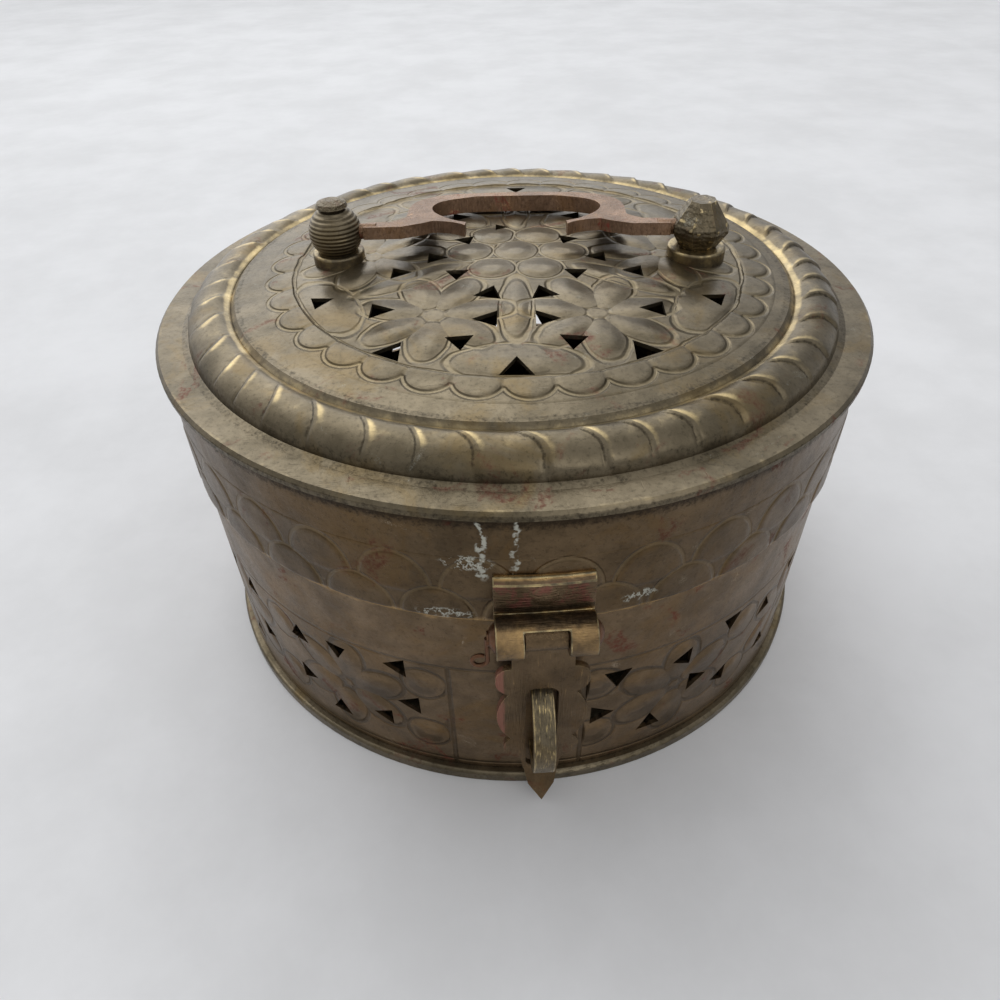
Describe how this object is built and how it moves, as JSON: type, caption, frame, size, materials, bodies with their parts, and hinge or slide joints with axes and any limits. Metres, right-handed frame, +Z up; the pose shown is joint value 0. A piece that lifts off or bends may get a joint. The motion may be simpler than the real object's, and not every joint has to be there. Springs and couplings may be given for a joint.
{
  "type": "trinket box",
  "caption": "Round metal trinket box with a pierced wall, hinged domed lid, bail handle between two posts, and a hasp over a staple.",
  "frame": {"origin": "middle of the base, on the plane that it rests on", "axes": "+Z up along the box's axis, -Y towards the latch, +Y towards the lid's hinge"},
  "size_m": [0.181, 0.1955, 0.1168],
  "materials": {
    "aged_brass": "aged, dark olive brown patina",
    "worn_brass": "handled, worn bright on its edges",
    "inner_brass": "dull",
    "copper_wire": "reddish, worn"
  },
  "bodies": {
    "base": {"base_plate": "aged_brass", "base_rim": "aged_brass", "base_wall": "aged_brass", "neck_ring": "inner_brass", "staple": "worn_brass", "staple_backplate": "inner_brass", "hinge_base_leaf": "worn_brass", "hinge_base_rivets": "worn_brass", "hinge_pin": "copper_wire"},
    "lid": {"lid_top": "aged_brass", "lid_skirt": "aged_brass", "left_post": "worn_brass", "right_post": "worn_brass", "left_collar": "worn_brass", "right_collar": "worn_brass", "post_washers": "inner_brass", "hasp_bracket": "worn_brass", "bracket_rivet": "worn_brass", "hasp_pin": "copper_wire", "hinge_lid_leaf": "worn_brass", "hinge_lid_rivets": "worn_brass"},
    "handle": {"handle": "worn_brass"},
    "hasp": {"hasp": "worn_brass"}
  },
  "joints": [
    {"name": "lid_hinge", "type": "hinge", "parent": "base", "child": "lid", "pos_m": [0, 0.0922, 0.0619], "axis": [-1, 0, 0], "range_deg": [0, 105]},
    {"name": "handle_pivot", "type": "hinge", "parent": "lid", "child": "handle", "pos_m": [0.0018, 0, 0.10871], "axis": [0.9969, -0.0785, 0], "range_deg": [0, 194]},
    {"name": "hasp_hinge", "type": "hinge", "parent": "lid", "child": "hasp", "pos_m": [0, -0.0938, 0.0634], "axis": [-1, 0, 0], "range_deg": [0, 130]}
  ]
}
